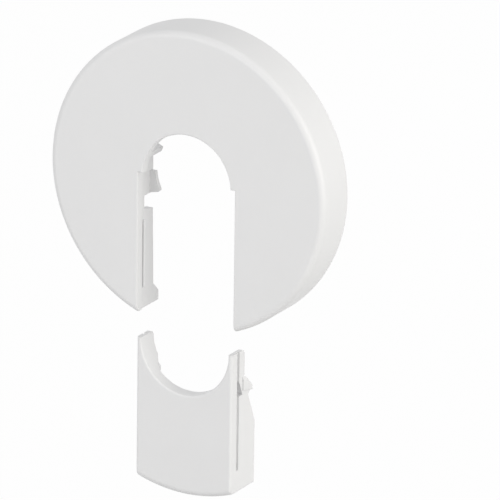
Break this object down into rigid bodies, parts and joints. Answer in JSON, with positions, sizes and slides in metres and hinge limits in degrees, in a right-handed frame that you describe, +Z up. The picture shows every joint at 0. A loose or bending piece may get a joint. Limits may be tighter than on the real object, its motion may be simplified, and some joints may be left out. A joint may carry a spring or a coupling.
{
  "type": "radiator pipe collar",
  "caption": "Round white plastic collar that hides the hole round a heating pipe, a slotted disc closed from below by a latching slide insert.",
  "frame": {"origin": "centre of the pipe hole, on the pipe axis, halfway through the front wall of the disc", "axes": "+Y along the pipe axis towards the wall, +Z up, against the way that the insert is drawn out, +X to the right seen from the front"},
  "size_m": [0.07, 0.0105, 0.1085],
  "materials": {
    "white_plastic": "satin moulded white"
  },
  "bodies": {
    "cover": {"cover_disc": "white_plastic"},
    "insert": {"slide_insert": "white_plastic"}
  },
  "joints": [
    {"name": "insert_slide", "type": "slide", "parent": "cover", "child": "insert", "axis": [0, 0, 1], "range_m": [0, 0.0385]}
  ]
}
